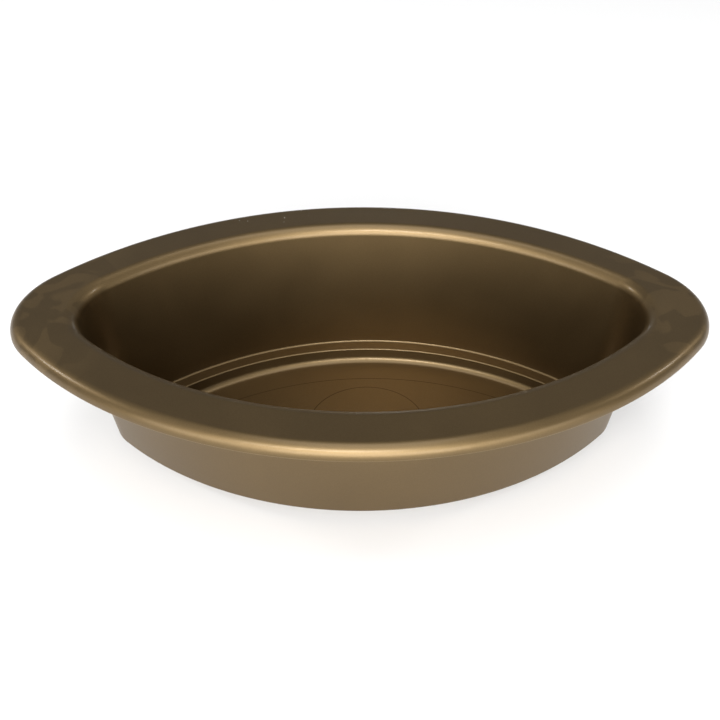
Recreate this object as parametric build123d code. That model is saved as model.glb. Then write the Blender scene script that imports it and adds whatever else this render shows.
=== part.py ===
from build123d import *
import math
import os

# A boat-shaped pan: one thin plastic moulding with a broad rim, a drafted wall and a stepped floor.
# Millimetres. +X is the long axis, +Z is up, and the origin is the centre of the underside of the foot.
# The moulding is delivered as regions that meet face to face, one solid each.

# Overall size
LENGTH = 400.0
WIDTH = 239.6
HEIGHT = 96.5
WALL = 1.8  # thickness of the moulding above the floor

# Rim: flat deck, rolled outer edge with a short skirt, rounded inner lip
RIM_TIP_RADIUS = 52.7
ROLL_RADIUS = 6.8
SKIRT_DEPTH = 7.4
SKIRT_EDGE_RADIUS = 0.5
LIP_RADIUS = 7.4

# Mouth: the inner face of the wall, carried straight up to the top of the rim
MOUTH_LENGTH = 327.4
MOUTH_WIDTH = 176.8
MOUTH_TIP_RADIUS = 37.0
WALL_DRAFT = 6.9  # degrees from vertical

# Ledge at the foot of the wall, and the riser from it down to the floor
LEDGE_TOP = 10.5
LEDGE_WIDTH = 9.1
LEDGE_CORNER_RADIUS = 1.4  # inside corner between wall and ledge
LEDGE_NOSE_RADIUS = 0.9  # the ledge's own front edge
RISER_DRAFT = 15.0  # degrees from vertical
RISER_FOOT_RADIUS = 4.6  # inside corner between riser and floor

# Floor: two shallow raised fields and the dished gate mark at its centre
FLOOR_THICKNESS = 2.0
PANEL_LENGTH = 216.6
PANEL_WIDTH = 93.5
PANEL_TIP_RADIUS = 22.0
PANEL_RISE = 0.25
DISC_RADIUS = 37.4
DISC_RISE = 0.2
GATE_RADIUS = 13.2
GATE_DEPTH = 0.7
GATE_FLAT_RADIUS = 9.0

# Where one region of the moulding ends and the next begins
LIP_DEPTH = 8.0  # the lip ends on the straight wall
WALL_BOTTOM = LEDGE_TOP + 3.0  # the ledge region takes the wall's inside corner
RISER_MARGIN = 2.4  # the riser region takes the ledge's front edge
OVERSIZE = 30.0  # how far a cutting tool runs past the moulding


def outline(length, width, tip_radius):
    """A pointed oval: half length, half width and tip radius; everything else follows."""
    return length / 2, width / 2, tip_radius


def grown(oval, distance):
    """The same oval moved outward by a distance, or inward by a negative one."""
    return tuple(size + distance for size in oval)


def side_arc(oval):
    """Radius of the two long sides, each tangent to both tips."""
    half_length, half_width, tip = oval
    reach = half_length - tip
    return (reach**2 + half_width**2 - tip**2) / (2 * (half_width - tip))


def face(oval, z):
    """The oval as a flat face at a height: two long arcs joined by two tip arcs."""
    half_length, half_width, tip = oval
    radius = side_arc(oval)
    sag = radius - half_width
    reach = half_length - tip
    turn = math.degrees(math.atan2(sag, reach))
    edges = [
        CenterArc((0, -sag), radius, turn, 180 - 2 * turn),
        CenterArc((-reach, 0), tip, 180 - turn, 2 * turn),
        CenterArc((0, sag), radius, 180 + turn, 180 - 2 * turn),
        CenterArc((reach, 0), tip, -turn, 2 * turn),
    ]
    return Pos(0, 0, z) * make_face(Curve() + edges)


def column(oval, bottom, top):
    """A straight-sided block of the oval between two heights."""
    return extrude(face(oval, bottom), top - bottom)


def drafted(top_oval, bottom, top, draft):
    """A block whose sides lean inward going down; the oval is its size at the top."""
    shrink = (top - bottom) * math.tan(math.radians(draft))
    return loft([face(grown(top_oval, -shrink), bottom), face(top_oval, top)], ruled=True)


def edges_at(solid, z):
    """The edges that lie wholly at one height."""
    return solid.edges().filter_by_position(Axis.Z, z - 1e-4, z + 1e-4)


def inner_edges_at(solid, z, oval):
    """The edges at one height that stay within an oval, which leaves out any larger loop."""
    half_length, half_width, _ = oval
    middles = [(edge, edge.position_at(0.5)) for edge in edges_at(solid, z)]
    return [e for e, m in middles if abs(m.X) < half_length + 1 and abs(m.Y) < half_width + 1]


def outline_at(oval, top, z, draft):
    """The drafted oval's size at a height below its top."""
    return grown(oval, -(top - z) * math.tan(math.radians(draft)))


RIM = outline(LENGTH, WIDTH, RIM_TIP_RADIUS)
MOUTH = outline(MOUTH_LENGTH, MOUTH_WIDTH, MOUTH_TIP_RADIUS)
PANEL = outline(PANEL_LENGTH, PANEL_WIDTH, PANEL_TIP_RADIUS)
OUTSIDE = grown(RIM, OVERSIZE)
WALL_SIDEWAYS = WALL / math.cos(math.radians(WALL_DRAFT))
RISER_SIDEWAYS = WALL / math.cos(math.radians(RISER_DRAFT))
RIM_UNDERSIDE = HEIGHT - WALL
LEDGE_UNDERSIDE = LEDGE_TOP - WALL
WALL_FOOT = outline_at(MOUTH, HEIGHT, LEDGE_TOP, WALL_DRAFT)
RISER_TOP = grown(WALL_FOOT, -LEDGE_WIDTH)
FLOOR_EDGE = grown(outline_at(RISER_TOP, LEDGE_TOP, FLOOR_THICKNESS, RISER_DRAFT), -RISER_FOOT_RADIUS)


def rim_cap():
    """The rim as a closed cap over the whole mouth: deck, rolled edge and skirt."""
    skirt_bottom = HEIGHT - SKIRT_DEPTH
    outer = column(RIM, skirt_bottom, HEIGHT)
    outer = fillet(edges_at(outer, HEIGHT), ROLL_RADIUS)
    inner = column(grown(RIM, -WALL), skirt_bottom, RIM_UNDERSIDE)
    inner = fillet(edges_at(inner, RIM_UNDERSIDE), ROLL_RADIUS - WALL)
    cap = outer - inner
    return fillet(edges_at(cap, skirt_bottom), SKIRT_EDGE_RADIUS)


def basin_outside():
    """Everything inside the outer face of the wall and of the foot."""
    wall_outer = grown(MOUTH, WALL_SIDEWAYS)
    body = drafted(wall_outer, LEDGE_UNDERSIDE, HEIGHT, WALL_DRAFT)
    body = fillet(edges_at(body, LEDGE_UNDERSIDE), LEDGE_CORNER_RADIUS + WALL / 2)
    foot_outer = outline_at(grown(RISER_TOP, RISER_SIDEWAYS), LEDGE_TOP, LEDGE_UNDERSIDE, RISER_DRAFT)
    foot = drafted(foot_outer, 0, LEDGE_UNDERSIDE, RISER_DRAFT)
    foot = fillet(edges_at(foot, 0), RISER_FOOT_RADIUS + WALL)
    return body + foot


def basin_inside():
    """The space inside the pan: the drafted hollow down to the ledge, then the well down to the floor."""
    hollow = drafted(MOUTH, LEDGE_TOP, HEIGHT, WALL_DRAFT)
    hollow = fillet(edges_at(hollow, LEDGE_TOP), LEDGE_CORNER_RADIUS)
    well = drafted(RISER_TOP, FLOOR_THICKNESS, LEDGE_TOP, RISER_DRAFT)
    well = fillet(edges_at(well, FLOOR_THICKNESS), RISER_FOOT_RADIUS)
    return hollow + well


def moulding():
    """The whole thin shell, with its lip and the ledge's front edge rounded."""
    shell = rim_cap() + basin_outside() - basin_inside()
    shell = fillet(inner_edges_at(shell, HEIGHT, MOUTH), LIP_RADIUS)
    under_lip = outline_at(grown(MOUTH, WALL_SIDEWAYS), HEIGHT, RIM_UNDERSIDE, WALL_DRAFT)
    shell = fillet(inner_edges_at(shell, RIM_UNDERSIDE, under_lip), LIP_RADIUS - WALL)
    return fillet(inner_edges_at(shell, LEDGE_TOP, RISER_TOP), LEDGE_NOSE_RADIUS)


def ring(outer, inner, bottom, top):
    """A straight-sided block between two ovals."""
    return column(outer, bottom, top) - column(inner, bottom, top)


def shell_regions():
    """Each region of the rim, wall and floor as the block of space that it fills."""
    roll_start = grown(RIM, -ROLL_RADIUS)
    lip_start = grown(MOUTH, LIP_RADIUS)
    riser_start = grown(RISER_TOP, RISER_MARGIN)
    lip_bottom = HEIGHT - LIP_DEPTH
    return {
        "rim_edge": ring(OUTSIDE, roll_start, lip_bottom, HEIGHT),
        "rim_deck": ring(roll_start, lip_start, lip_bottom, HEIGHT),
        "rim_lip": column(lip_start, lip_bottom, HEIGHT),
        "side_wall": column(lip_start, WALL_BOTTOM, lip_bottom),
        "floor_ledge": ring(lip_start, riser_start, 0, WALL_BOTTOM),
        "floor_riser": ring(riser_start, FLOOR_EDGE, 0, WALL_BOTTOM),
        "floor_border": ring(FLOOR_EDGE, PANEL, 0, WALL_BOTTOM),
    }


def disc(radius, top):
    """A round block standing on the underside of the floor."""
    return extrude(Circle(radius), top)


def floor_fields():
    """The middle of the floor: each field stands a little above the one around it."""
    panel_top = FLOOR_THICKNESS + PANEL_RISE
    disc_top = panel_top + DISC_RISE
    dish = Pos(0, 0, disc_top - GATE_DEPTH / 2) * Cone(
        GATE_FLAT_RADIUS, GATE_RADIUS, GATE_DEPTH
    )
    return {
        "floor_panel": column(PANEL, 0, panel_top) - disc(DISC_RADIUS, panel_top),
        "floor_disc": disc(DISC_RADIUS, disc_top) - disc(GATE_RADIUS, disc_top),
        "gate_mark": disc(GATE_RADIUS, disc_top) - dish,
    }


shell = moulding()
nodes = {name: shell & block for name, block in shell_regions().items()}
nodes.update(floor_fields())

os.makedirs("parts", exist_ok=True)
for name, node in nodes.items():
    export_step(node, f"parts/{name}.step")
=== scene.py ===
import math

import bpy
import numpy as np
from mathutils import Euler, Matrix, Vector


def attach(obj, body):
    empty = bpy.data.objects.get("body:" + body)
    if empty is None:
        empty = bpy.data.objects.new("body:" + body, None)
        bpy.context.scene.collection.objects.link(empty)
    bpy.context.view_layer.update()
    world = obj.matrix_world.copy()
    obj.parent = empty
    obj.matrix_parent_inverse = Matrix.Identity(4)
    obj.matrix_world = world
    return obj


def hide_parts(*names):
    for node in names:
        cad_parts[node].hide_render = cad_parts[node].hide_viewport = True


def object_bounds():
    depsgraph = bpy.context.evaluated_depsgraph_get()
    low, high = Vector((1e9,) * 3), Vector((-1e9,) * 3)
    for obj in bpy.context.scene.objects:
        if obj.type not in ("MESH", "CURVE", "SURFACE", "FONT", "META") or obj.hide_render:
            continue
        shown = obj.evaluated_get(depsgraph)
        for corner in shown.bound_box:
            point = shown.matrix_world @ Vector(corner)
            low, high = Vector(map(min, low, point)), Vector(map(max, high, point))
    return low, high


# A boat-shaped pan moulded in gold-bronze plastic. The skins below follow the CAD section, in
# millimetres until a mesh is made, with +X along the pan and +Z up.

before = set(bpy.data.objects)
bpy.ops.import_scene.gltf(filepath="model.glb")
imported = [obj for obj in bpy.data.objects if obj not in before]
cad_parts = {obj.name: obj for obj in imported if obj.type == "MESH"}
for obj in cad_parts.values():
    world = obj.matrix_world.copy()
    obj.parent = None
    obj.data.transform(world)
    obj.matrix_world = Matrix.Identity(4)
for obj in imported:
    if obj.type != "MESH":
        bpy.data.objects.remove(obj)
cad_low, cad_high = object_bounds()
MM = 0.001

# ---- Driving dimensions, as in the CAD model ----

LENGTH = (cad_high[0] - cad_low[0]) / MM
WIDTH = (cad_high[1] - cad_low[1]) / MM
HEIGHT = cad_high[2] / MM
WALL = 1.8

RIM_TIP_RADIUS = 52.7
ROLL_RADIUS = 6.8
SKIRT_DEPTH = 7.4
SKIRT_EDGE_RADIUS = 0.5
LIP_RADIUS = 7.4
LIP_DEPTH = 8.0  # how far the node of the lip reaches down the wall

MOUTH_LENGTH = 327.4
MOUTH_WIDTH = 176.8
MOUTH_TIP_RADIUS = 37.0
WALL_DRAFT = math.radians(6.9)

LEDGE_TOP = 10.5
LEDGE_WIDTH = 9.1
LEDGE_CORNER_RADIUS = 1.4
LEDGE_NOSE_RADIUS = 0.9
LEDGE_UNDERSIDE = LEDGE_TOP - WALL
WALL_BOTTOM = LEDGE_TOP + 3.0  # where the wall meets the node of the ledge
RISER_DRAFT = math.radians(15.0)
RISER_FOOT_RADIUS = 4.6
RISER_MARGIN = 2.4  # how far the node of the riser reaches onto the ledge

FLOOR = 2.0
PANEL_LENGTH = 216.6
PANEL_WIDTH = 93.5
PANEL_TIP_RADIUS = 22.0
PANEL_RISE = 0.25
DISC_RADIUS = 37.4
DISC_RISE = 0.2
GATE_RADIUS = 13.2
GATE_DEPTH = 0.7
GATE_FLAT_RADIUS = 9.0
PINHOLE_RADIUS = 0.15  # the rings of the gate mark stop this close to its centre
LINE_WIDTH = 0.6  # half width of the fine lines round the floor's fields

# ---- Pointed ovals ----

SIDE_STEPS = 192  # points along each long side
TIP_STEPS = 64  # points round each tip


def outline(length, width, tip_radius):
    """Half length, half width and tip radius of a pointed oval."""
    return np.array([length / 2, width / 2, tip_radius])


def oval_ring(oval):
    """Points round a pointed oval and the outward normals there, both in plan."""
    half_length, half_width, tip = oval
    reach = half_length - tip
    radius = (reach**2 + half_width**2 - tip**2) / (2 * (half_width - tip))
    sag = radius - half_width
    turn = math.atan2(sag, reach)
    arcs = [
        ((0, -sag), radius, turn, math.pi - turn, SIDE_STEPS),
        ((-reach, 0), tip, math.pi - turn, math.pi + turn, TIP_STEPS),
        ((0, sag), radius, math.pi + turn, 2 * math.pi - turn, SIDE_STEPS),
        ((reach, 0), tip, -turn, turn, TIP_STEPS),
    ]
    points, normals = [], []
    for centre, size, start, end, steps in arcs:
        angle = np.linspace(start, end, steps, endpoint=False)
        normal = np.stack([np.cos(angle), np.sin(angle)], axis=1)
        points.append(np.array(centre) + size * normal)
        normals.append(normal)
    return np.concatenate(points), np.concatenate(normals)


def circle_ring(radius, like):
    """Points round a circle in the directions of another ring's points."""
    normal = like / np.linalg.norm(like, axis=1)[:, None]
    return radius * normal, normal


RIM = outline(LENGTH, WIDTH, RIM_TIP_RADIUS)
MOUTH = outline(MOUTH_LENGTH, MOUTH_WIDTH, MOUTH_TIP_RADIUS)
PANEL = outline(PANEL_LENGTH, PANEL_WIDTH, PANEL_TIP_RADIUS)

# ---- Rows: one ring of points and normals at one place of the section ----


def row(oval, out, z, across, up):
    """The ring of an oval grown by `out`, at height z, with the section's normal (across, up)."""
    points, normals = oval_ring(oval + out)
    return raise_ring(points, z), tilt(normals, across, up)


def raise_ring(points, z):
    return np.column_stack([points, np.full(len(points), z)])


def tilt(normals, across, up):
    return np.column_stack([normals * across, np.full(len(normals), up)])


def flat(ring, z, up):
    """A ring on a level face."""
    points, normals = ring
    return raise_ring(points, z), tilt(normals, 0, up)


def between(first, last, steps):
    """Rows evenly spaced from one row to another."""
    share = np.linspace(0, 1, steps + 1)
    return [tuple((1 - s) * a + s * b for a, b in zip(first, last)) for s in share]


def arc(oval, centre, radius, start, end, steps, side=1):
    """A rounded corner: angles run from straight up, positive outward; side -1 is a hollow one."""
    out, z = centre
    rows = []
    for angle in np.linspace(start, end, steps + 1):
        across, up = math.sin(angle), math.cos(angle)
        rows.append(row(oval, out + radius * across, z + radius * up, side * across, side * up))
    return rows


def straight(oval, first, last, normal, steps=1):
    """A straight stretch of the section between two (out, z) places."""
    share = np.linspace(0, 1, steps + 1)
    return [
        row(oval, (1 - s) * first[0] + s * last[0], (1 - s) * first[1] + s * last[1], *normal)
        for s in share
    ]


# ---- The section ----

WALL_SLOPE = math.tan(WALL_DRAFT)
WALL_SIDEWAYS = WALL / math.cos(WALL_DRAFT)
RISER_SIDEWAYS = WALL / math.cos(RISER_DRAFT)
UP, DOWN = (0, 1), (0, -1)
QUARTER = math.pi / 2
WALL_LEAN = QUARTER - WALL_DRAFT  # the wall's inner face is turned this far from straight up
RISER_LEAN = QUARTER - RISER_DRAFT
WALL_NORMAL = (-math.cos(WALL_DRAFT), math.sin(WALL_DRAFT))
RISER_NORMAL = (-math.cos(RISER_DRAFT), math.sin(RISER_DRAFT))


def wall_out(z):
    """How far the wall's inner face lies from the mouth's outline at a height."""
    return -(HEIGHT - z) * WALL_SLOPE


RISER_OUT = wall_out(LEDGE_TOP) - LEDGE_WIDTH
LIP_CENTRE = (LIP_RADIUS * (1 - math.sin(WALL_DRAFT)) / math.cos(WALL_DRAFT), HEIGHT - LIP_RADIUS)
ROLL_CENTRE = (-ROLL_RADIUS, HEIGHT - ROLL_RADIUS)
FLOOR_EDGE_OUT = RISER_OUT - (LEDGE_TOP - FLOOR) * math.tan(RISER_DRAFT) - RISER_FOOT_RADIUS


def corner_centre(face_out, face_top, draft, z, depth):
    """Centre of a rounded corner at height z, `depth` inside the hollow side of a drafted face."""
    out = face_out + (math.sin(draft) * (z - face_top) - depth) / math.cos(draft)
    return out, z


def flipped(normal):
    return -normal[0], -normal[1]


def shifted(place, distance, normal):
    """A place of the section moved along a normal."""
    return place[0] + distance * normal[0], place[1] + distance * normal[1]


def rim_edge():
    """The rolled outer edge and its skirt, down the outside and back up the inside."""
    bottom = HEIGHT - SKIRT_DEPTH
    edge, roll_low = SKIRT_EDGE_RADIUS, HEIGHT - ROLL_RADIUS
    inner = ROLL_RADIUS - WALL
    return [
        arc(RIM, ROLL_CENTRE, ROLL_RADIUS, 0, QUARTER, 20),
        straight(RIM, (0, roll_low), (0, bottom + edge), (1, 0)),
        arc(RIM, (-edge, bottom + edge), edge, QUARTER, 2 * QUARTER, 5),
        straight(RIM, (-edge, bottom), (edge - WALL, bottom), DOWN),
        arc(RIM, (edge - WALL, bottom + edge), edge, 2 * QUARTER, 3 * QUARTER, 5),
        straight(RIM, (-WALL, bottom + edge), (-WALL, roll_low), (-1, 0)),
        arc(RIM, ROLL_CENTRE, inner, QUARTER, 0, 14, side=-1),
        straight(RIM, (-ROLL_RADIUS, HEIGHT - WALL), (-ROLL_RADIUS, HEIGHT), (-1, 0)),
    ]


def rim_deck():
    """The flat band of the rim."""
    top, low = HEIGHT, HEIGHT - WALL
    inner, outer = oval_ring(MOUTH + LIP_RADIUS), oval_ring(RIM - ROLL_RADIUS)
    return [
        between(flat(inner, top, 1), flat(outer, top, 1), 8),
        straight(RIM, (-ROLL_RADIUS, top), (-ROLL_RADIUS, low), (1, 0)),
        between(flat(outer, low, -1), flat(inner, low, -1), 8),
        straight(MOUTH, (LIP_RADIUS, low), (LIP_RADIUS, top), (-1, 0)),
    ]


def rim_lip():
    """The rounded lip from the deck down to the wall."""
    top, low, cut = HEIGHT, HEIGHT - WALL, HEIGHT - LIP_DEPTH
    inner_cut, outer_cut = (wall_out(cut), cut), (wall_out(cut) + WALL_SIDEWAYS, cut)
    turn = shifted(LIP_CENTRE, LIP_RADIUS, WALL_NORMAL)
    under = LIP_RADIUS - WALL
    under_turn = shifted(LIP_CENTRE, under, WALL_NORMAL)
    return [
        straight(MOUTH, inner_cut, turn, WALL_NORMAL),
        arc(MOUTH, LIP_CENTRE, LIP_RADIUS, -WALL_LEAN, 0, 22),
        straight(MOUTH, (LIP_CENTRE[0], top), (LIP_RADIUS, top), UP),
        straight(MOUTH, (LIP_RADIUS, top), (LIP_RADIUS, low), (1, 0)),
        straight(MOUTH, (LIP_RADIUS, low), (LIP_CENTRE[0], low), DOWN),
        arc(MOUTH, LIP_CENTRE, under, 0, -WALL_LEAN, 16, side=-1),
        straight(MOUTH, under_turn, outer_cut, flipped(WALL_NORMAL)),
        straight(MOUTH, outer_cut, inner_cut, DOWN),
    ]


def side_wall():
    """The drafted wall."""
    top, low = HEIGHT - LIP_DEPTH, WALL_BOTTOM
    inner = [(wall_out(z), z) for z in (low, top)]
    outer = [(out + WALL_SIDEWAYS, z) for out, z in inner]
    return [
        straight(MOUTH, inner[0], inner[1], WALL_NORMAL, 24),
        straight(MOUTH, inner[1], outer[1], UP),
        straight(MOUTH, outer[1], outer[0], flipped(WALL_NORMAL), 24),
        straight(MOUTH, outer[0], inner[0], DOWN),
    ]


def floor_ledge():
    """The foot of the wall and the ledge inside it."""
    small, large = LEDGE_CORNER_RADIUS, LEDGE_CORNER_RADIUS + WALL / 2
    inside = corner_centre(0, HEIGHT, WALL_DRAFT, LEDGE_TOP + small, small)
    outside = corner_centre(WALL_SIDEWAYS, HEIGHT, WALL_DRAFT, LEDGE_UNDERSIDE + large, large)
    start = RISER_OUT + RISER_MARGIN
    inner_cut = (wall_out(WALL_BOTTOM), WALL_BOTTOM)
    outer_cut = (inner_cut[0] + WALL_SIDEWAYS, WALL_BOTTOM)
    tangent = shifted(inside, -small, WALL_NORMAL)
    outer_tangent = shifted(outside, -large, WALL_NORMAL)
    return [
        straight(MOUTH, (start, LEDGE_TOP), (inside[0], LEDGE_TOP), UP, 4),
        arc(MOUTH, inside, small, 2 * QUARTER, QUARTER + WALL_DRAFT, 10, side=-1),
        straight(MOUTH, tangent, inner_cut, WALL_NORMAL),
        straight(MOUTH, inner_cut, outer_cut, UP),
        straight(MOUTH, outer_cut, outer_tangent, flipped(WALL_NORMAL)),
        arc(MOUTH, outside, large, QUARTER + WALL_DRAFT, 2 * QUARTER, 12),
        straight(MOUTH, (outside[0], LEDGE_UNDERSIDE), (start, LEDGE_UNDERSIDE), DOWN, 4),
        straight(MOUTH, (start, LEDGE_UNDERSIDE), (start, LEDGE_TOP), (-1, 0)),
    ]


def floor_riser():
    """The ledge's rounded front edge, the riser and the rounded corner on the floor."""
    nose, foot, under = LEDGE_NOSE_RADIUS, RISER_FOOT_RADIUS, RISER_FOOT_RADIUS + WALL
    start, end = RISER_OUT + RISER_MARGIN, FLOOR_EDGE_OUT
    nose_out = RISER_OUT + nose * (1 - math.sin(RISER_DRAFT)) / math.cos(RISER_DRAFT)
    inside = corner_centre(RISER_OUT, LEDGE_TOP, RISER_DRAFT, FLOOR + foot, foot)
    outer_face = RISER_OUT + RISER_SIDEWAYS
    outside = corner_centre(outer_face, LEDGE_TOP, RISER_DRAFT, under, under)
    nose_centre = nose_out, LEDGE_TOP - nose
    nose_tangent = shifted(nose_centre, nose, RISER_NORMAL)
    tangent = shifted(inside, -foot, RISER_NORMAL)
    outer_tangent = shifted(outside, -under, RISER_NORMAL)
    outer_top = outer_face - WALL * math.tan(RISER_DRAFT), LEDGE_UNDERSIDE
    return [
        straight(MOUTH, (end, FLOOR), (inside[0], FLOOR), UP, 3),
        arc(MOUTH, inside, foot, 2 * QUARTER, QUARTER + RISER_DRAFT, 16, side=-1),
        straight(MOUTH, tangent, nose_tangent, RISER_NORMAL, 3),
        arc(MOUTH, nose_centre, nose, -RISER_LEAN, 0, 8),
        straight(MOUTH, (nose_out, LEDGE_TOP), (start, LEDGE_TOP), UP, 2),
        straight(MOUTH, (start, LEDGE_TOP), (start, LEDGE_UNDERSIDE), (1, 0)),
        straight(MOUTH, (start, LEDGE_UNDERSIDE), outer_top, DOWN),
        straight(MOUTH, outer_top, outer_tangent, flipped(RISER_NORMAL)),
        arc(MOUTH, outside, under, QUARTER + RISER_DRAFT, 2 * QUARTER, 16),
        straight(MOUTH, (outside[0], 0), (end, 0), DOWN, 3),
        straight(MOUTH, (end, 0), (end, FLOOR), (-1, 0)),
    ]


PANEL_RING = oval_ring(PANEL)[0]
FLOOR_LINES = [PANEL_RING, circle_ring(DISC_RADIUS, PANEL_RING)[0]]


def circle(radius):
    return circle_ring(radius, PANEL_RING)


def band(rings, top):
    """A level field of the floor from its first ring out to its last, on the floor's underside."""
    (inner_points, inner_normals), (outer_points, outer_normals) = rings[0], rings[-1]
    inner_side = [(raise_ring(inner_points, z), tilt(inner_normals, -1, 0)) for z in (0, top)]
    outer_side = [(raise_ring(outer_points, z), tilt(outer_normals, 1, 0)) for z in (top, 0)]
    surface = [[flat(a, top, 1), flat(b, top, 1)] for a, b in zip(rings[:-1], rings[1:])]
    underside = between(flat(rings[-1], 0, -1), flat(rings[0], 0, -1), 6)
    return [inner_side, *surface, outer_side, underside]


def floor_border():
    rings = [oval_ring(PANEL), oval_ring(PANEL + LINE_WIDTH), oval_ring(MOUTH + FLOOR_EDGE_OUT)]
    return band(rings, FLOOR)


def floor_panel():
    inner = [circle(DISC_RADIUS), circle(DISC_RADIUS + LINE_WIDTH)]
    return band(inner + [oval_ring(PANEL - LINE_WIDTH), oval_ring(PANEL)], FLOOR + PANEL_RISE)


def floor_disc():
    rings = [circle(GATE_RADIUS), circle(DISC_RADIUS - LINE_WIDTH), circle(DISC_RADIUS)]
    return band(rings, FLOOR + PANEL_RISE + DISC_RISE)


def gate_mark():
    """The dished mark left by the gate."""
    top = FLOOR + PANEL_RISE + DISC_RISE
    rim, dish, centre = circle(GATE_RADIUS), circle(GATE_FLAT_RADIUS), circle(PINHOLE_RADIUS)
    low = top - GATE_DEPTH
    slope = math.atan2(GATE_DEPTH, GATE_RADIUS - GATE_FLAT_RADIUS)
    cone = [
        (raise_ring(points, z), tilt(normals, -math.sin(slope), math.cos(slope)))
        for (points, normals), z in ((dish, low), (rim, top))
    ]
    side = [(raise_ring(rim[0], z), tilt(rim[1], 1, 0)) for z in (top, 0)]
    return [
        [flat(centre, 0, -1), flat(centre, low, 1)],
        between(flat(centre, low, 1), flat(dish, low, 1), 4),
        cone,
        side,
        between(flat(rim, 0, -1), flat(centre, 0, -1), 5),
    ]


# ---- Meshes ----

FLOOR_LINE = 1.0
# The skirt's negative value marks a painted highlight along its lower edge.
SKIRT_PAINTED_HIGHLIGHT = -1.0
CLOSE = 0.01  # a row this near an edge counts as lying on it


def skin(name, stretches):
    """A closed mesh from the stretches of a section that runs all the way round one region."""
    rows = [r for stretch in stretches for r in stretch[:-1]]
    count, size = len(rows), len(rows[0][0])
    points = np.concatenate([r[0] for r in rows]) * MM
    ahead = np.roll(np.arange(size), -1)
    quads, normals = [], []
    index = 0
    for stretch in stretches:
        for (_, near), (_, far) in zip(stretch[:-1], stretch[1:]):
            here, there = index * size, (index + 1) % count * size
            steps = np.arange(size)
            quads.append(np.stack([here + steps, there + steps, there + ahead, here + ahead], axis=1))
            normals.append(np.stack([near, far, far[ahead], near[ahead]], axis=1))
            index += 1
    quads, normals = np.concatenate(quads), np.concatenate(normals).reshape(-1, 3)
    if not faces_outward(points, quads, normals):
        quads = quads[:, ::-1]
        normals = normals.reshape(-1, 4, 3)[:, ::-1].reshape(-1, 3)
    mesh = bpy.data.meshes.new(name)
    mesh.from_pydata(points.tolist(), [], quads.tolist())
    mesh.polygons.foreach_set("use_smooth", np.ones(len(mesh.polygons), bool))
    # This attribute also carries the painted highlight on the skirt's lower edge.
    line = mesh.attributes.new("line", "FLOAT", "POINT")
    line.data.foreach_set("value", np.repeat([line_and_highlight_value(r[0]) for r in rows], size).astype(np.float32))
    mesh.normals_split_custom_set((normals / np.linalg.norm(normals, axis=1)[:, None]).tolist())
    piece = bpy.data.objects.new(name, mesh)
    bpy.context.scene.collection.objects.link(piece)
    return piece


def line_and_highlight_value(points):
    """The mark on a row: the floor's fine lines, the painted highlight along the skirt's lower edge, or
    0 for none.
    """
    if points[0, 2] > 0 and any(np.allclose(points[:, :2], line) for line in FLOOR_LINES):
        return FLOOR_LINE
    outside = points[:, 1].max() > WIDTH / 2 - SKIRT_EDGE_RADIUS - CLOSE
    low = points[0, 2] < HEIGHT - SKIRT_DEPTH + SKIRT_EDGE_RADIUS + CLOSE
    return SKIRT_PAINTED_HIGHLIGHT if outside and low else 0.0


def faces_outward(points, quads, normals):
    """Whether the quads wind the way that their normals point."""
    a, b, d = (points[quads[:, i]] for i in (0, 1, 3))
    return (np.cross(b - a, d - a) * normals[::4]).sum() > 0


# ---- Materials: scales are per metre, and places are metres in the pan's own frame ----

GOLD = (0.162, 0.110, 0.051)
METALLIC = 1.0
ROUGHNESS = 0.44
SPECULAR = 0.1
COAT = 0.25
COAT_ROUGHNESS = 0.2
FLOOR_COLOUR = (0.8, 0.8, 0.8, 1)
FLOOR_ROUGHNESS = 0.9

PIGMENT_SCALE = 1500
PIGMENT_TONE = 0.05
CLOUD_SCALE = 24
CLOUD_TONE = 0.03
CLOUD_ROUGHNESS = 0.015
PEEL_SCALE = 260
PEEL_STRENGTH = 0.12
PEEL_DEPTH = 0.0002

FLOW_SCALE = 30
FLOW_TONE = 1.15
FLOW_ROUGHNESS = 0.04
FLOW_START, FLOW_FULL = 0.14, 0.17  # distances along the pan
RIM_START, RIM_FULL = 0.085, 0.09  # heights
# Darkens the floor's lines; with the skirt's negative value it lightens the painted highlight on the
# skirt's edge.
LINE_AND_PAINTED_HIGHLIGHT_TONE = 0.7

ARC_TONE = 0.5
ARC_RADIUS = 0.102
ARC_CENTRE = (0, 0, 0.159)
ARC_CORE, ARC_EDGE = 0.0003, 0.0007  # half widths of the line
ARC_FULL, ARC_TOP = 0.064, 0.070  # heights
FACES_FRONT = -0.5

DUST = (0.75, 0.68, 0.58, 1)
DUST_SCALE = 380.0
DUST_RARITY = 0.72
DUST_CORE, DUST_EDGE = 0.12, 0.22  # shares of a cell
DUST_CENTRE = (-0.068, 0.108, 0)
DUST_NEAR, DUST_FAR = 0.018, 0.034


def shader(name):
    material = bpy.data.materials.new(name)
    material.use_nodes = True
    tree = material.node_tree
    return material, tree, tree.nodes["Principled BSDF"]


def node(tree, kind, inputs, **settings):
    """A shader node whose sockets are set to a value or linked to another node's output."""
    made = tree.nodes.new(kind)
    for key, value in settings.items():
        setattr(made, key, value)
    for key, value in inputs.items():
        if isinstance(value, bpy.types.NodeSocket):
            tree.links.new(value, made.inputs[key])
        else:
            made.inputs[key].default_value = value
    return made


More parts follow.
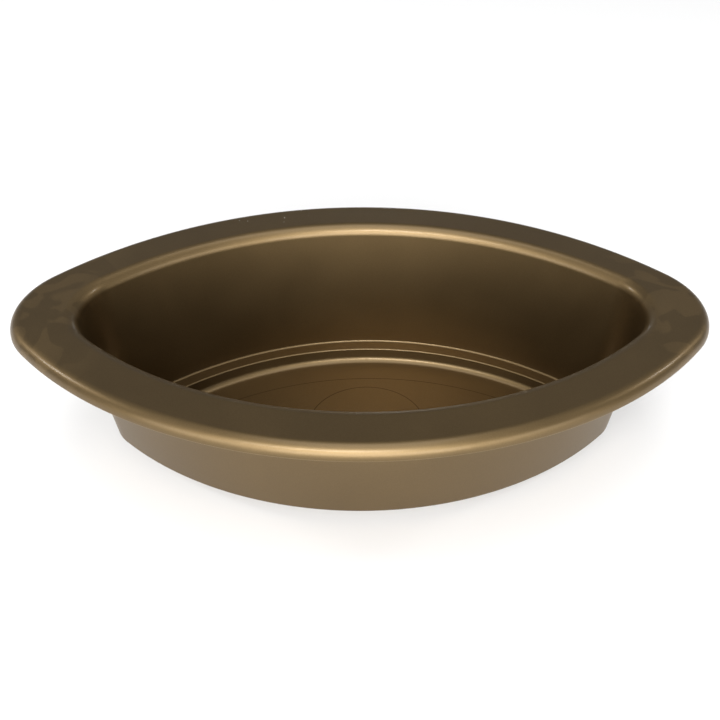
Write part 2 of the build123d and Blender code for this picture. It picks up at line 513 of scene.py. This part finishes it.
def gold_plastic():
    """Satin gold-bronze plastic under a clear gloss, with its pigment, flow marks and dust."""
    material, tree, bsdf = shader("gold_plastic")
    coordinates = node(tree, "ShaderNodeTexCoord", {}).outputs
    place = coordinates["Object"]
    along, across, up = node(tree, "ShaderNodeSeparateXYZ", {"Vector": place}).outputs
    facing = node(tree, "ShaderNodeSeparateXYZ", {"Vector": coordinates["Normal"]}).outputs["Y"]

    def calc(operation, *values):
        return node(tree, "ShaderNodeMath", dict(enumerate(values)), operation=operation).outputs[0]

    def both(*masks):
        return calc("MULTIPLY", *masks)

    def spread(value, start, end, low, high):
        ends = {"Value": value, "From Min": start, "From Max": end, "To Min": low, "To Max": high}
        return node(tree, "ShaderNodeMapRange", ends).outputs["Result"]

    def noise(scale, detail, distortion=0.0):
        sockets = {"Vector": place, "Scale": scale, "Detail": detail, "Distortion": distortion}
        return node(tree, "ShaderNodeTexNoise", sockets).outputs["Fac"]

    def vector(operation, *values):
        return node(tree, "ShaderNodeVectorMath", dict(enumerate(values)), operation=operation).outputs

    def distance(centre, stretch):
        away = vector("MULTIPLY", vector("SUBTRACT", place, centre)[0], stretch)[0]
        return vector("LENGTH", away)["Value"]

    pigment = spread(noise(PIGMENT_SCALE, 2), 0.35, 0.65, 1 - PIGMENT_TONE, 1 + PIGMENT_TONE)
    clouds = noise(CLOUD_SCALE, 3, 0.6)
    mottle = spread(clouds, 0.3, 0.7, 1 - CLOUD_TONE, 1 + CLOUD_TONE)
    uneven = spread(clouds, 0.3, 0.7, ROUGHNESS - CLOUD_ROUGHNESS, ROUGHNESS + CLOUD_ROUGHNESS)

    # Sharp-edged flow marks where the plastic met again at the two tips of the rim.
    at_tips = spread(calc("ABSOLUTE", along), FLOW_START, FLOW_FULL, 0, 1)
    on_rim = spread(up, RIM_START, RIM_FULL, 0, 1)
    patches = spread(noise(FLOW_SCALE, 1, 2.0), 0.5, 0.53, 0, 1)
    flow = both(both(at_tips, on_rim), patches)

    # A faint arc on the outside of the front wall.
    arc_gap = calc("ABSOLUTE", calc("SUBTRACT", distance(ARC_CENTRE, (1, 0, 1)), ARC_RADIUS))
    outside_front = both(calc("LESS_THAN", across, 0.0), calc("LESS_THAN", facing, FACES_FRONT))
    below_rim = both(outside_front, spread(up, ARC_FULL, ARC_TOP, 1, 0))
    arc_mark = both(spread(arc_gap, ARC_CORE, ARC_EDGE, 1, 0), below_rim)

    # The fine lines round the floor's fields, darkened, and a painted highlight along the skirt's lower
    # edge, lightened.
    line = node(tree, "ShaderNodeAttribute", {}, attribute_name="line").outputs["Fac"]
    marks_and_painted_highlight = calc("ADD", calc("MULTIPLY", line, LINE_AND_PAINTED_HIGHLIGHT_TONE), calc("MULTIPLY", arc_mark, ARC_TONE))
    flow_tone = spread(flow, 0, 1, 1, FLOW_TONE)
    tone = both(both(pigment, mottle), calc("SUBTRACT", flow_tone, marks_and_painted_highlight))
    gold = node(tree, "ShaderNodeVectorMath", {0: GOLD, "Scale": tone}, operation="SCALE").outputs[0]

    # A few specks of dust on the back of the rim.
    cells = node(tree, "ShaderNodeTexVoronoi", {"Vector": place, "Scale": DUST_SCALE}).outputs
    speck = spread(cells["Distance"], DUST_CORE, DUST_EDGE, 1, 0)
    some = node(tree, "ShaderNodeSeparateXYZ", {"Vector": cells["Color"]}).outputs[0]
    chosen = calc("GREATER_THAN", some, DUST_RARITY)
    near = spread(distance(DUST_CENTRE, (1, 2, 0)), DUST_NEAR, DUST_FAR, 1, 0)
    dust = both(both(speck, chosen), both(near, on_rim))
    mixed = node(tree, "ShaderNodeMix", {0: dust, 6: gold, 7: DUST}, data_type="RGBA").outputs[2]

    peel = {"Height": noise(PEEL_SCALE, 2), "Strength": PEEL_STRENGTH, "Distance": PEEL_DEPTH}
    bump = node(tree, "ShaderNodeBump", peel).outputs["Normal"]
    linked = {
        "Base Color": mixed,
        "Metallic": spread(dust, 0, 1, METALLIC, 0),
        "Roughness": calc("ADD", uneven, calc("MULTIPLY", flow, FLOW_ROUGHNESS)),
        "Normal": bump,
        "Coat Normal": bump,
    }
    for socket, value in linked.items():
        tree.links.new(value, bsdf.inputs[socket])
    bsdf.inputs["Specular IOR Level"].default_value = SPECULAR
    bsdf.inputs["Coat Weight"].default_value = COAT
    bsdf.inputs["Coat Roughness"].default_value = COAT_ROUGHNESS
    return material


def pale_floor():
    material, _, bsdf = shader("pale_floor")
    bsdf.inputs["Base Color"].default_value = FLOOR_COLOUR
    bsdf.inputs["Roughness"].default_value = FLOOR_ROUGHNESS
    return material


# ---- The object ----

gold = gold_plastic()
for build in (
    rim_edge,
    rim_deck,
    rim_lip,
    side_wall,
    floor_ledge,
    floor_riser,
    floor_border,
    floor_panel,
    floor_disc,
    gate_mark,
):
    region = build.__name__
    piece = skin(region + "_skin", build())
    piece.data.materials.append(gold)
    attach(piece, "root")
    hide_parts(region)

# ---- Studio ----

FLOOR_SIZE = 24.0
WORLD_STRENGTH = 0.29
LIGHT_DISTANCE = 5.0

bpy.ops.mesh.primitive_plane_add(size=FLOOR_SIZE)
ground = bpy.context.object
ground.name = "studio_floor"
ground.data.materials.append(pale_floor())

world = bpy.data.worlds.new("studio")
world.use_nodes = True
backdrop = world.node_tree.nodes["Background"]
backdrop.inputs["Color"].default_value = (1, 1, 1, 1)
backdrop.inputs["Strength"].default_value = WORLD_STRENGTH
bpy.context.scene.world = world

rim_centre = Vector((0, 0, cad_high[2]))


def direction(azimuth, elevation):
    """The way out from the rim's centre; azimuth 0 is on the camera's side."""
    across, up = math.radians(azimuth), math.radians(elevation)
    return Vector((math.sin(across) * math.cos(up), -math.cos(across) * math.cos(up), math.sin(up)))


def soft_light(name, azimuth, elevation, size, power, distance=LIGHT_DISTANCE, colour=(1, 1, 1)):
    """A rectangular softbox aimed at the pan."""
    data = bpy.data.lights.new(name, "AREA")
    data.shape = "RECTANGLE"
    data.size, data.size_y = size
    data.energy = power
    data.color = colour
    lamp = bpy.data.objects.new(name, data)
    bpy.context.scene.collection.objects.link(lamp)
    away = direction(azimuth, elevation)
    lamp.location = rim_centre + distance * away
    lamp.rotation_euler = away.to_track_quat("Z", "Y").to_euler()


soft_light("key", -12, 40, (3.6, 0.7), 125)
soft_light("core", -6, 43, (1.4, 0.25), 60)
soft_light("low_front", 0, 15, (4.6, 2.1), 235)
soft_light("low_left", -45, 15, (2.5, 2.1), 60)
soft_light("low_right", 45, 15, (2.5, 2.1), 42)
soft_light("high_front", 0, 62, (2.5, 2.5), 39)
soft_light("top", 0, 90, (2.5, 2.5), 56)
soft_light("window_left", -100, 33, (0.42, 0.84), 38)
soft_light("window_right", 100, 33, (0.3, 0.62), 26)
soft_light("window_back", 177, 5, (0.12, 0.08), 0.35, distance=1.8, colour=(0.85, 0.93, 1.0))

# ---- Camera ----

CAMERA_DISTANCE = 0.5082
CAMERA_ELEVATION = 35.0
CAMERA_AZIMUTH = -1.27
CAMERA_PITCH = -38.55
CAMERA_HEADING = 4.39
CAMERA_ROLL = 2.2
CAMERA_LENS = 44.03
CAMERA_SHIFT = -0.0622

camera_data = bpy.data.cameras.new("camera")
camera_data.lens = CAMERA_LENS
camera_data.shift_x = CAMERA_SHIFT
camera_data.clip_start = 0.01
camera = bpy.data.objects.new("camera", camera_data)
bpy.context.scene.collection.objects.link(camera)
camera.location = rim_centre + CAMERA_DISTANCE * direction(CAMERA_AZIMUTH, CAMERA_ELEVATION)
aim = Euler((math.radians(90 + CAMERA_PITCH), 0, math.radians(-CAMERA_HEADING)))
turned = aim.to_matrix() @ Matrix.Rotation(math.radians(CAMERA_ROLL), 3, "Z")
camera.rotation_euler = turned.to_euler()
bpy.context.scene.camera = camera
bpy.context.scene.view_settings.view_transform = "Standard"
